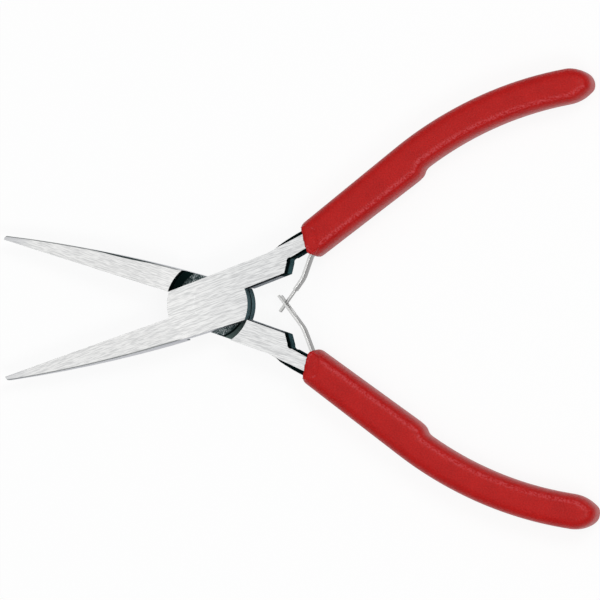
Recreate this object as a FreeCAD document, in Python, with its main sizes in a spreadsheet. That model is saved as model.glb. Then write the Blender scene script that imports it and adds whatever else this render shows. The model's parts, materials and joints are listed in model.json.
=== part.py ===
import FreeCAD, Part
import math
import os

import Sketcher

# Needle-nose pliers with a lap joint, a pair of interlocking leaf springs and vinyl sleeves.
# Frame in mm: +X runs from the jaw tips towards the handle ends, +Z up through the joint, and
# the origin is on the pivot axis at the lower ground face. The tool stands open, springs relaxed.
# A lever is drawn closed: jaw along -X with its gripping face on Y = 0, handle towards +X +Y.

SIZES = {
    # levers
    "thick": 8.5,
    "lap_gap": 0.04,
    "half_open": 17.85,
    "jaw_long": 50.8,
    "jaw_gap": 0.02,
    "tip_width": 1.0,
    "jaw_back_radius": 308.0,
    "jaw_root_x": 9.0,
    "jaw_root_y": 5.5,
    "tip_thick": 2.1,
    "taper_from": 13.0,
    "waist": 6.0,
    "shoulder_front": 5.75,
    "shoulder_rear_x": 16.6,
    "shoulder_rear_y": 6.6,
    "plate_front": 9.7,
    "plate_rear": 8.95,
    "recess_front": 9.98,
    "recess_rear": 9.5,
    "root_inner": 0.75,
    "notch_x": 18.7,
    "notch_y": 1.1,
    "notch_deep_x": 20.38,
    "notch_deep_y": 3.8,
    "notch_round": 0.9,
    "bulge_x": 18.9,
    "bulge_y": 7.75,
    "bulge_radius": 35.0,
    "neck_x": 25.3,
    "neck_clear": 0.0918,
    "draft_middle": 0.7,
    "draft_end_x": 27.0,
    "draft_end_y": 8.15,
    "draft_deep": 3.4,
    # handles and sleeves
    "handle_slope": 19.9,
    "inner_slope": 18.3,
    "bow_x": 80.45,
    "bow_y": -60.1,
    "bow_outer": 84.9,
    "bow_inner": 77.4,
    "mouth_x": 25.27,
    "mouth_inner_x": 24.5,
    "inner_x": 26.36,
    "inner_y": 2.32,
    "mouth_round_outer": 1.8,
    "mouth_round_inner": 1.9,
    "step_x": 53.4,
    "step_long": 3.4,
    "step_round": 3.6,
    "tail_slope": 10.8,
    "tail_round_outer": 6.9,
    "tail_round_tip": 2.75,
    "tail_round_inner": 8.5,
    "sleeve_wall": 0.9,
    "sleeve_fit": 0.05,
    "sleeve_round": 1.7,
    # pivot rivet
    "pin_radius": 2.5,
    "pin_gap": 0.04,
    "head_radius": 3.6,
    "head_deep": 1.1,
    # leaf springs
    "leaf_thick": 0.5,
    "leaf_root_x": 25.1,
    "leaf_wide": 4.0,
    "foot_long": 26.0,
    "root_bend": 33.6,
    "root_round": 1.2,
    "first_run": 5.4,
    "back_bend": 16.1,
    "back_round": 7.0,
    "second_run": 9.25,
    "link_long": 6.0,
    "tongue_wide": 1.6,
    "slot_wide": 2.2,
    "leaf_rivet_at": 17.0,
    "leaf_rivet_radius": 0.9,
    "leaf_rivet_long": 4.2,
}


class Size:
    """A length or angle that carries both its sheet expression and its present value."""

    def __init__(self, text, value):
        self.text = text
        self.value = value

    def _with(self, other, sign, result):
        text = other.text if isinstance(other, Size) else repr(other)
        return Size(f"({self.text} {sign} {text})", result)

    def __add__(self, other):
        return self._with(other, "+", self.value + number(other))

    def __sub__(self, other):
        return self._with(other, "-", self.value - number(other))

    def __mul__(self, other):
        return self._with(other, "*", self.value * number(other))

    def __truediv__(self, other):
        return self._with(other, "/", self.value / number(other))

    def __neg__(self):
        return Size(f"(0 - {self.text})", -self.value)


def number(item):
    return item.value if isinstance(item, Size) else item


def fixed(value):
    return Size(repr(value), value)


def sine(angle):
    return Size(f"sin({angle.text})", math.sin(math.radians(angle.value)))


def cosine(angle):
    return Size(f"cos({angle.text})", math.cos(math.radians(angle.value)))


def tangent(angle):
    return Size(f"tan({angle.text})", math.tan(math.radians(angle.value)))


def root(size):
    return Size(f"sqrt({size.text})", math.sqrt(size.value))


doc = FreeCAD.newDocument("pliers")
sheet = doc.addObject("Spreadsheet::Sheet", "sizes")
S = {}
for row, (alias, amount) in enumerate(SIZES.items(), start=1):
    sheet.set(f"A{row}", str(amount))
    sheet.setAlias(f"A{row}", alias)
    S[alias] = Size(f"sizes.{alias}", amount)
doc.recompute()


def new_body(label):
    body = doc.addObject("PartDesign::Body", label)
    body.Label = label
    return body


def new_sketch(body, name, role="XY_Plane", offset=None):
    sketch = body.newObject("Sketcher::SketchObject", name)
    plane = [item for item in body.Origin.OriginFeatures if item.Role == role][0]
    sketch.AttachmentSupport = [(plane, "")]
    sketch.MapMode = "FlatFace"
    if offset is not None:
        sketch.AttachmentOffset = FreeCAD.Placement(
            FreeCAD.Vector(0, 0, offset.value), FreeCAD.Rotation()
        )
        sketch.setExpression("AttachmentOffset.Base.z", offset.text)
    return sketch


def bind(sketch, constraint, size):
    index = sketch.addConstraint(constraint)
    sketch.setExpression(f"Constraints[{index}]", size.text)


def pin_point(sketch, edge, end, point):
    """Holds one end of a sketch edge at a point given by two sizes."""
    for kind, size in (("DistanceX", point[0]), ("DistanceY", point[1])):
        bind(sketch, Sketcher.Constraint(kind, -1, 1, edge, end, size.value), size)


def arc_between(start, end, radius):
    """An arc from start to end: a positive radius bulges to the left, a negative one to the right."""
    chord = end - start
    reach = abs(radius)
    rise = reach - math.sqrt(max(reach * reach - chord.Length * chord.Length / 4, 0))
    side = FreeCAD.Vector(-chord.y, chord.x, 0).normalize()
    if radius < 0:
        side = side * -1
    middle = (start + end) * 0.5 + side * rise
    return Part.Arc(start, middle, end)


def outline(sketch, steps, closed=True):
    """Draws a chain of edges.

    Each step is (point, radius): the corner where the edge starts, and None for a straight edge
    or a size for an arc's radius, negative where the arc bulges to the right of its run.
    """
    vectors = [FreeCAD.Vector(p[0].value, p[1].value, 0) for p, _ in steps]
    count = len(steps) if closed else len(steps) - 1
    for index in range(count):
        start = vectors[index]
        end = vectors[(index + 1) % len(steps)]
        bulge = steps[index][1]
        if bulge is None:
            sketch.addGeometry(Part.LineSegment(start, end), False)
        else:
            sketch.addGeometry(arc_between(start, end, bulge.value), False)
    ends = []
    for index in range(count):
        bulge = steps[index][1]
        turned = bulge is not None and bulge.value > 0
        ends.append((2, 1) if turned else (1, 2))
    for index in range(count):
        pin_point(sketch, index, ends[index][0], steps[index][0])
        bulge = steps[index][1]
        if bulge is not None:
            size = bulge if bulge.value > 0 else -bulge
            bind(sketch, Sketcher.Constraint("Radius", index, size.value), size)
    for index in range(count if closed else count - 1):
        after = (index + 1) % len(steps)
        sketch.addConstraint(
            Sketcher.Constraint("Coincident", index, ends[index][1], after, ends[after][0])
        )
    if not closed:
        pin_point(sketch, count - 1, ends[-1][1], steps[-1][0])


def feature(body, kind, name, sketch, **values):
    item = body.newObject(f"PartDesign::{kind}", name)
    if sketch is not None:
        item.Profile = sketch
    for prop, value in values.items():
        if isinstance(value, Size):
            setattr(item, prop, value.value)
            item.setExpression(prop, value.text)
        else:
            setattr(item, prop, value)
    if sketch is not None:
        sketch.Visibility = False
    return item


def between(start, end, share):
    return tuple(a + (b - a) * share for a, b in zip(start, end))


def on_bow(x, radius):
    """The height of the handle's bow at x, on a circle about the bow's centre."""
    along = x - S["bow_x"]
    return S["bow_y"] + root(radius * radius - along * along)


def line_height(point, slope, x):
    return point[1] + (x - point[0]) * tangent(slope)


# ---- shared handle geometry ------------------------------------------------------------------

BOW_START = (
    S["bow_x"] - S["bow_outer"] * sine(S["handle_slope"]),
    S["bow_y"] + S["bow_outer"] * cosine(S["handle_slope"]),
)
COVER = S["sleeve_wall"] + S["sleeve_fit"]
LEAF_SEAT = COVER + S["leaf_thick"]
STEP_END = S["step_x"] + S["step_long"]


def outer_line(x, inset):
    """The outer edge of the sleeve's front part, moved into the handle by the inset."""
    return line_height(BOW_START, S["handle_slope"], x) - inset / cosine(S["handle_slope"])


def inner_line(x, inset):
    """The inner edge of the sleeve's front part, moved into the handle by the inset."""
    anchor = (S["inner_x"], S["inner_y"])
    return line_height(anchor, S["inner_slope"], x) + inset / cosine(S["inner_slope"])


MOUTH_OUTER = (S["mouth_x"], outer_line(S["mouth_x"], fixed(0.0)))
MOUTH_INNER = (S["mouth_inner_x"], inner_line(S["mouth_inner_x"], fixed(0.0)))
LEAF_ROOT = (S["leaf_root_x"], inner_line(S["leaf_root_x"], COVER + S["leaf_thick"] / 2))


def tail(inset):
    """The rear end, moved in by the inset: steps of three tangent arcs, inner bow to outer bow."""
    slope = S["tail_slope"]
    tip = S["tail_round_tip"]
    hub = (S["bow_x"], S["bow_y"])
    middle = (S["bow_outer"] + S["bow_inner"]) / 2
    tip_hub = (hub[0] + middle * sine(slope), hub[1] + middle * cosine(slope))
    ends = []
    for bow, large, side in (
        (S["bow_inner"], S["tail_round_inner"], 1.0),
        (S["bow_outer"], S["tail_round_outer"], -1.0),
    ):
        reach = bow + large * side
        apart = large - tip
        cos_back = (reach * reach + middle * middle - apart * apart) / (reach * middle * 2)
        sin_back = root(-(cos_back * cos_back) + 1)
        spoke = (
            sine(slope) * cos_back - cosine(slope) * sin_back,
            cosine(slope) * cos_back + sine(slope) * sin_back,
        )
        start = tuple(h + (bow + inset * side) * c for h, c in zip(hub, spoke))
        share = (large - inset) / apart
        meet = tuple(h + reach * c + (t - h - reach * c) * share
                     for h, c, t in zip(hub, spoke, tip_hub))
        ends.append((start, meet, large - inset))
    (inner, inner_meet, inner_round), (outer, outer_meet, outer_round) = ends
    return [
        (inner, -inner_round),
        (inner_meet, -(tip - inset)),
        (outer_meet, -outer_round),
        (outer, -(S["bow_outer"] - inset)),
    ]


def corner(before, at, after, radius):
    """Two steps that round a left turn between straight edges with a tangent arc."""
    runs = []
    for start, end in ((before, at), (at, after)):
        across = end[0] - start[0]
        along = end[1] - start[1]
        length = root(across * across + along * along)
        runs.append((across / length, along / length))
    (ax, ay), (bx, by) = runs
    reach = radius * (ax * by - ay * bx) / (ax * bx + ay * by + 1)
    return [
        ((at[0] - ax * reach, at[1] - ay * reach), -radius),
        ((at[0] + bx * reach, at[1] + by * reach), None),
    ]


# ---- levers ----------------------------------------------------------------------------------


def tang_end():
    """The hidden rear of the handle, from the inner seat of the leaf round to the outer edge."""
    seat_end = S["step_x"] - 1.2
    bow_seat = STEP_END - 2.2
    shift = COVER * sine(S["handle_slope"])
    drop = COVER * cosine(S["handle_slope"])
    return [
        ((seat_end, inner_line(seat_end, LEAF_SEAT)), None),
        ((bow_seat, on_bow(bow_seat, S["bow_inner"] + COVER)), S["bow_inner"] + COVER),
        *tail(COVER),
        ((BOW_START[0] + shift, BOW_START[1] - drop), None),
    ]


def lever_outline():
    """The plan of one lever, joint plate included, anticlockwise from the jaw's tip."""
    tip = -S["jaw_long"]
    low = -S["jaw_gap"]
    nose = S["tip_width"]
    neck_end = S["step_x"] - 17.4
    neck = (neck_end, inner_line(neck_end, LEAF_SEAT))
    hidden = (S["neck_x"] + 4.5, outer_line(S["neck_x"] + 4.5, COVER + 0.1))
    rear = S["plate_rear"]
    front = S["plate_front"]
    deep = (S["notch_deep_x"], S["notch_deep_y"])
    notch = (S["notch_x"], S["notch_y"])
    side = (-root(front * front - S["shoulder_front"] * S["shoulder_front"]), S["shoulder_front"])
    return [
        ((tip, low), None),
        ((tip, low - nose * 0.4), -(nose * 0.7)),
        ((tip + nose * 0.5, low - nose), S["jaw_back_radius"] * -1),
        ((-S["jaw_root_x"], -S["jaw_root_y"]), None),
        ((root(rear * rear - S["waist"] * S["waist"]), -S["waist"]), -rear),
        ((root(rear * rear - S["root_inner"] * S["root_inner"]), S["root_inner"]), None),
        (notch, None),
        (between(deep, notch, 0.2), S["notch_round"]),
        (between(deep, neck, 0.06), None),
        (neck, None),
        *tang_end(),
        (hidden, None),
        ((S["neck_x"], outer_line(S["neck_x"], COVER + S["neck_clear"])), -S["bulge_radius"]),
        ((S["bulge_x"], S["bulge_y"]), None),
        ((S["shoulder_rear_x"], S["shoulder_rear_y"]), None),
        (side, -front),
        ((-front, low), None),
    ]


def leaf_point(along, across):
    """A point in the lever's plan, from the leaf's root: along its foot, and towards the tang."""
    flat = cosine(S["inner_slope"])
    rise = sine(S["inner_slope"])
    return (
        LEAF_ROOT[0] + flat * along - rise * across,
        LEAF_ROOT[1] + rise * along + flat * across,
    )


def make_lever(label, hole_gap):
    """One forged lever: jaw, half-thick joint plate and handle tang, drawn as the upper layer."""
    body = new_body(label)
    plan = new_sketch(body, f"{label}_plan")
    outline(plan, lever_outline())
    feature(body, "Pad", f"{label}_blank", plan, Length=S["thick"])

    # Half the thickness is cut away round the pivot, where the other lever's plate swings.
    lap = new_sketch(body, f"{label}_lap")
    zero = fixed(0.0)
    front = S["recess_front"]
    rear = S["recess_rear"]
    outline(lap, [
        ((rear, zero), -rear), ((zero, rear), None), ((zero, front), -front),
        ((-front, zero), -front), ((zero, -front), None), ((zero, -rear), -rear),
    ])
    depth = S["thick"] / 2 + S["lap_gap"] / 2
    feature(body, "Pocket", f"{label}_lap_recess", lap, Length=depth, Reversed=True)

    # The jaw thins towards its tip on both faces.
    far = -S["jaw_long"] - 1
    start = -S["taper_from"]
    thin = (S["thick"] - S["tip_thick"]) / 2
    for name, face, away in (("low", fixed(0.0), -1.0), ("top", S["thick"], 1.0)):
        side = new_sketch(body, f"{label}_taper_{name}_side", "XZ_Plane")
        outline(side, [
            ((start, face), None),
            ((far, face - thin * away), None),
            ((far, face + away), None),
            ((start, face + away), None),
        ])
        feature(body, "Pocket", f"{label}_taper_{name}", side, Type="ThroughAll", Midplane=True)

    # The forging's draft shows beside the ground faces where the handle leaves the joint.
    stations = [
        (S["shoulder_rear_x"] + 0.1, S["shoulder_rear_y"] + 0.03, fixed(0.02)),
        (S["bulge_x"], S["bulge_y"], S["draft_middle"]),
        (S["draft_end_x"], outer_line(S["draft_end_x"], COVER), None),
    ]
    for name, face, away in (("low", fixed(0.0), 1.0), ("top", S["thick"], -1.0)):
        sections = []
        for index, (x, edge, wide) in enumerate(stations):
            ground = S["draft_end_y"] if wide is None else edge - wide
            section = new_sketch(body, f"{label}_draft_{name}_{index}", "YZ_Plane", x)
            outline(section, [
                ((ground, face - away * 0.05), None),
                ((edge + 1.0, face - away * 0.05), None),
                ((edge + 1.0, face + S["draft_deep"] * away), None),
                ((edge - 0.01, face + S["draft_deep"] * away), None),
            ])
            sections.append(section)
        feature(
            body, "SubtractiveLoft", f"{label}_draft_{name}", sections[0],
            Sections=sections[1:], Ruled=True,
        )
        for section in sections[1:]:
            section.Visibility = False

    # Pivot hole, countersunk at the outer face.
    pin = S["pin_radius"] + hole_gap
    head = S["head_radius"] + hole_gap
    shoulder = S["thick"] - S["head_deep"]
    bore = new_sketch(body, f"{label}_bore_side", "XZ_Plane")
    outline(bore, [
        ((fixed(0.0), S["thick"] + 1), None),
        ((fixed(0.0), fixed(1.0)), None),
        ((pin, fixed(1.0)), None),
        ((pin, shoulder - hole_gap), None),
        ((head, S["thick"] - hole_gap), None),
        ((head, S["thick"] + 1), None),
    ])
    feature(body, "Groove", f"{label}_bore", bore, ReferenceAxis=(bore, ["V_Axis"]), Angle=360.0)

    # Blind hole for the leaf's rivet in the tang's inner edge.
    at = S["leaf_rivet_at"]
    wide = S["leaf_rivet_radius"]
    deep = S["leaf_rivet_long"] - S["leaf_thick"] / 2
    seat = new_sketch(body, f"{label}_rivet_side", "XY_Plane", S["thick"] / 2)
    outline(seat, [
        (leaf_point(at, fixed(0.0)), None),
        (leaf_point(at + wide, fixed(0.0)), None),
        (leaf_point(at + wide, deep), None),
        (leaf_point(at, deep), None),
    ])
    feature(
        body, "Groove", f"{label}_rivet_hole", seat, ReferenceAxis=(seat, ["Edge4"]), Angle=360.0
    )
    return body


# ---- sleeves ---------------------------------------------------------------------------------


def sleeve_outline():
    """The plan of one sleeve, anticlockwise from the inner end of its mouth."""
    step = (S["step_x"], inner_line(S["step_x"], fixed(0.0)))
    landing = (STEP_END, on_bow(STEP_END, S["bow_inner"]))
    return [
        *corner(MOUTH_OUTER, MOUTH_INNER, step, S["mouth_round_inner"]),
        (step, -S["step_round"]),
        (between(step, landing, 0.5), S["step_round"]),
        (landing, S["bow_inner"]),
        *tail(fixed(0.0)),
        (BOW_START, None),
        *corner(BOW_START, MOUTH_OUTER, MOUTH_INNER, S["mouth_round_outer"]),
    ]


def cavity_outline():
    """The room inside a sleeve: the tang with the leaf's foot, and the open mouth."""
    wall = S["sleeve_wall"]
    front = S["mouth_x"] - 3
    lip = S["mouth_inner_x"] + 1.9
    seat_end = S["step_x"] - 0.4
    bow_seat = STEP_END - 1.9
    shift = wall * sine(S["handle_slope"])
    drop = wall * cosine(S["handle_slope"])
    back = (BOW_START[0] + shift, BOW_START[1] - drop)
    return [
        ((front, inner_line(front, -wall)), None),
        ((S["mouth_inner_x"], inner_line(S["mouth_inner_x"], -wall)), None),
        ((lip, inner_line(lip, wall)), None),
        ((seat_end, inner_line(seat_end, wall)), None),
        ((bow_seat, on_bow(bow_seat, S["bow_inner"] + wall)), S["bow_inner"] + wall),
        *tail(wall),
        (back, None),
        ((front, outer_line(front, wall)), None),
    ]


def make_sleeve(label):
    """A dipped vinyl sleeve: a closed tube round the tang with soft outer edges."""
    body = new_body(label)
    plan = new_sketch(body, f"{label}_plan", "XY_Plane", S["thick"] / 2)
    outline(plan, sleeve_outline())
    full = S["thick"] + COVER * 2
    pad = feature(body, "Pad", f"{label}_blank", plan, Length=full, Midplane=True)
    doc.recompute()
    soft = []
    for index, edge in enumerate(pad.Shape.Edges, start=1):
        if edge.BoundBox.ZLength < 1e-6:
            soft.append(f"Edge{index}")
    rounding = body.newObject("PartDesign::Fillet", f"{label}_rounding")
    rounding.Base = (pad, soft)
    rounding.Radius = S["sleeve_round"].value
    rounding.setExpression("Radius", S["sleeve_round"].text)
    room = new_sketch(body, f"{label}_room", "XY_Plane", S["thick"] / 2)
    outline(room, cavity_outline())
    hollow = S["thick"] + S["sleeve_fit"] * 2
    feature(body, "Pocket", f"{label}_cavity", room, Length=hollow, Midplane=True)
    return body


# ---- leaf springs ----------------------------------------------------------------------------


def leaf_path():
    """The middle line of a leaf in its own plan: foot on +X, root bend at the origin, free tip."""
    lead = S["root_round"] * tangent(S["root_bend"] / 2)
    curve = S["back_round"] * tangent(S["back_bend"] / 2)
    first = S["root_bend"] + 180
    second = S["root_bend"] - S["back_bend"] + 180
    knee = (S["first_run"] * cosine(first), S["first_run"] * sine(first))
    after = S["first_run"] - curve
    return [
        ((S["foot_long"], fixed(0.0)), None),
        ((lead, fixed(0.0)), -S["root_round"]),
        ((lead * cosine(first), lead * sine(first)), None),
        ((after * cosine(first), after * sine(first)), S["back_round"]),
        ((knee[0] + curve * cosine(second), knee[1] + curve * sine(second)), None),
        ((knee[0] + S["second_run"] * cosine(second), knee[1] + S["second_run"] * sine(second)),
         None),
    ]


def make_leaf(label, forked):
    """A flat leaf spring, one end seated on the tang, the other a tongue or an open fork."""
    body = new_body(label)
    path = new_sketch(body, f"{label}_path")
    outline(path, leaf_path(), closed=False)
    strip = new_sketch(body, f"{label}_section", "YZ_Plane", S["foot_long"])
    half = S["leaf_thick"] / 2
    side = S["leaf_wide"] / 2
    outline(strip, [((-half, -side), None), ((half, -side), None), ((half, side), None),
                    ((-half, side), None)])
    feature(body, "AdditivePipe", f"{label}_strip", strip, Spine=(path, []))
    path.Visibility = False

    # The free end is cut across its width, seen along the leaf's own Y.
    second = S["root_bend"] - S["back_bend"] + 180
    first = S["root_bend"] + 180
    tip = S["first_run"] * cosine(first) + S["second_run"] * cosine(second)
    link = tip - S["link_long"] * cosine(second)
    far = tip - 1
    cut = new_sketch(body, f"{label}_link_side", "XZ_Plane")
    if forked:
        slot = S["slot_wide"] / 2
        outline(cut, [((far, -slot), None), ((link, -slot), None), ((link, slot), None),
                      ((far, slot), None)])
    else:
        slim = S["tongue_wide"] / 2
        over = side + 1
        outline(cut, [((far, slim), None), ((link, slim), None), ((link, over), None),
                      ((far, over), None)])
        feature(body, "Pocket", f"{label}_link_top", cut, Type="ThroughAll", Midplane=True)
        cut = new_sketch(body, f"{label}_link_side_low", "XZ_Plane")
        outline(cut, [((far, -over), None), ((link, -over), None), ((link, -slim), None),
                      ((far, -slim), None)])
    feature(body, "Pocket", f"{label}_link", cut, Type="ThroughAll", Midplane=True)

    hole = new_sketch(body, f"{label}_hole", "XZ_Plane")
    round_hole = S["leaf_rivet_radius"] + S["pin_gap"]
    start = FreeCAD.Vector(S["leaf_rivet_at"].value, 0, 0)
    hole.addGeometry(Part.Circle(start, FreeCAD.Vector(0, 0, 1), round_hole.value), False)
    bind(hole, Sketcher.Constraint("Radius", 0, round_hole.value), round_hole)
    pin_point(hole, 0, 3, (S["leaf_rivet_at"], fixed(0.0)))
    feature(body, "Pocket", f"{label}_rivet_hole", hole, Type="ThroughAll", Midplane=True)
    return body


# ---- rivets ----------------------------------------------------------------------------------


def make_pivot():
    """The pivot rivet: a pin with a countersunk head at each ground face."""
    body = new_body("pivot_rivet")
    side = new_sketch(body, "pivot_side", "XZ_Plane")
    low = S["head_deep"]
    outline(side, [
        ((fixed(0.0), fixed(0.0)), None),
        ((S["head_radius"], fixed(0.0)), None),
        ((S["pin_radius"], low), None),
        ((S["pin_radius"], S["thick"] - low), None),
        ((S["head_radius"], S["thick"]), None),
        ((fixed(0.0), S["thick"]), None),
    ])
    feature(body, "Revolution", "pivot_turned", side, ReferenceAxis=(side, ["V_Axis"]), Angle=360.0)
    return body


def make_leaf_rivet(label):
    pin = doc.addObject("Part::Cylinder", label)
    pin.Label = label
    pin.setExpression("Radius", S["leaf_rivet_radius"].text)
    pin.setExpression("Height", S["leaf_rivet_long"].text)
    return pin


# ---- assembly --------------------------------------------------------------------------------


def turned(x, y, z, axis, degrees):
    return FreeCAD.Placement(FreeCAD.Vector(x, y, z), FreeCAD.Rotation(FreeCAD.Vector(*axis), degrees))


OPEN = S["half_open"].value
THICK = S["thick"].value
LEAF = turned(LEAF_ROOT[0].value, LEAF_ROOT[1].value, THICK / 2, (0, 0, 1), S["inner_slope"].value)
PIN_AT = leaf_point(S["leaf_rivet_at"], -(S["leaf_thick"] / 2))
PIN = turned(PIN_AT[0].value, PIN_AT[1].value, THICK / 2, (0, 0, 1), S["inner_slope"].value)
PIN = PIN.multiply(turned(0, 0, 0, (1, 0, 0), -90))
UPPER = turned(0, 0, 0, (0, 0, 1), OPEN)
LOWER = turned(0, 0, 0, (0, 0, 1), -OPEN).multiply(turned(0, 0, THICK, (1, 0, 0), 180))

parts = []
for layer, place, gap in (("upper", UPPER, fixed(0.0)), ("lower", LOWER, S["pin_gap"])):
    lever = make_lever(f"lever_{layer}", gap)
    lever.Placement = place
    sleeve = make_sleeve(f"sleeve_{layer}")
    sleeve.Placement = place
    leaf = make_leaf(f"leaf_spring_{layer}", layer == "lower")
    leaf.Placement = place.multiply(LEAF)
    pin = make_leaf_rivet(f"leaf_rivet_{layer}")
    pin.Placement = place.multiply(PIN)
    parts += [lever, sleeve, leaf, pin]
parts.append(make_pivot())
doc.recompute()

faults = []
for item in doc.Objects:
    if "Invalid" in item.State or "Error" in item.State:
        faults.append(f"{item.Name}: {item.State}")
for item in parts:
    if item.Shape.isNull() or not item.Shape.isValid() or len(item.Shape.Solids) != 1:
        faults.append(f"{item.Label}: {len(item.Shape.Solids)} solids")
if faults:
    raise RuntimeError("; ".join(faults))

os.makedirs("parts", exist_ok=True)
for item in parts:
    item.Shape.exportStep(f"parts/{item.Label}.step")
    print(item.Label, round(item.Shape.Volume, 2), item.Shape.BoundBox)
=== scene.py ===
import json
import logging
import math
from dataclasses import dataclass, field
from enum import Enum
from functools import reduce

import bpy
from mathutils import Matrix, Vector
from mathutils.bvhtree import BVHTree
from mathutils.kdtree import KDTree

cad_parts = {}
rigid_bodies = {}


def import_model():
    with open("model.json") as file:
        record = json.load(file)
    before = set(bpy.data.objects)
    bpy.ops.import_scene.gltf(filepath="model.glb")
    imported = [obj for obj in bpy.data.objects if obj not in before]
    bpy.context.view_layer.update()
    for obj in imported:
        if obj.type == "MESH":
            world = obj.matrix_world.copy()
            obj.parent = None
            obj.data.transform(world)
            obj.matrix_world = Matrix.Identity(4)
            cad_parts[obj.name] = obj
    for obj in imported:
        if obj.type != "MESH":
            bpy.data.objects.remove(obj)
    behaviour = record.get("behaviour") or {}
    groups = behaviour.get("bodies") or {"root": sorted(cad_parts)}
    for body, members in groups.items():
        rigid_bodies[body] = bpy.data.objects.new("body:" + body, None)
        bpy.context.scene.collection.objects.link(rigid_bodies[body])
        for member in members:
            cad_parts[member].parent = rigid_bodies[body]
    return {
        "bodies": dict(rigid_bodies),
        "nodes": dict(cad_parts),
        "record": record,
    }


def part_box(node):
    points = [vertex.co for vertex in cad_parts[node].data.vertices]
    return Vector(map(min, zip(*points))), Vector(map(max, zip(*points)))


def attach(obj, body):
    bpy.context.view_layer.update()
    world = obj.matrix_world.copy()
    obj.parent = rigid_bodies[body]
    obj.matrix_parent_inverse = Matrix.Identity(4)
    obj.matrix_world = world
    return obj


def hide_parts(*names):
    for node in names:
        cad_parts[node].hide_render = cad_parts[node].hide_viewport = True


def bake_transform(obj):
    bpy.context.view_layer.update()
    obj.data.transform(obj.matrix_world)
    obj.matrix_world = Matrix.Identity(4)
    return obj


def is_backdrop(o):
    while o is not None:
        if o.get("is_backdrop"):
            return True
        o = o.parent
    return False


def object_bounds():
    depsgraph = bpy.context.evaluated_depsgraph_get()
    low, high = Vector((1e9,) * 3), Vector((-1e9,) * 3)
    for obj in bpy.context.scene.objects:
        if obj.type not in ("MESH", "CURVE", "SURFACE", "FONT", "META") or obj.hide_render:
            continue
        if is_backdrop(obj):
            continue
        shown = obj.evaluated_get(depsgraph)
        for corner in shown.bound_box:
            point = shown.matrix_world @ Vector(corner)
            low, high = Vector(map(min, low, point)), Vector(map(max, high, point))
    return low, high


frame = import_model()

LOG = logging.getLogger("needle_nose_pliers")
MM = 0.001
WELD_GAP = 0.002 * MM  # corners that are nearer than this are one corner
Piece = bpy.types.Object
Material = bpy.types.Material
Socket = bpy.types.NodeSocket
Sockets = dict[str, Socket]
Place = tuple[float, float, float]
Colour = tuple[float, float, float]
Span = tuple[float, float]


# ---- names and sizes shared by all the sub-assemblies ----


class Layer(Enum):
    """The two halves of the tool: the lever drawn on top in the joint, and the one below."""

    UPPER = "upper"
    LOWER = "lower"

    @property
    def side(self) -> float:
        """+1 for the half whose handle runs to +Y, -1 for the other one."""
        return 1.0 if self is Layer.UPPER else -1.0

    @property
    def body(self) -> str:
        """The body that carries this half's lever and sleeve."""
        return f"{self.value}_half"

    @property
    def leaf_body(self) -> str:
        """The body that carries the free part of this half's leaf spring."""
        return f"leaf_{self.value}"


@dataclass(frozen=True)
class ToolSizes:
    """Sizes of the whole tool, in metres and radians, in the row frame."""

    thick: float = 8.5 * MM
    half_open: float = math.radians(17.85)
    handle_slope: float = math.radians(19.9)
    foot_slope: float = math.radians(18.3)

    @property
    def middle(self) -> float:
        """The height of the lap between the two levers."""
        return self.thick / 2


TOOL = ToolSizes()


# ---- shader building blocks ----


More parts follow.
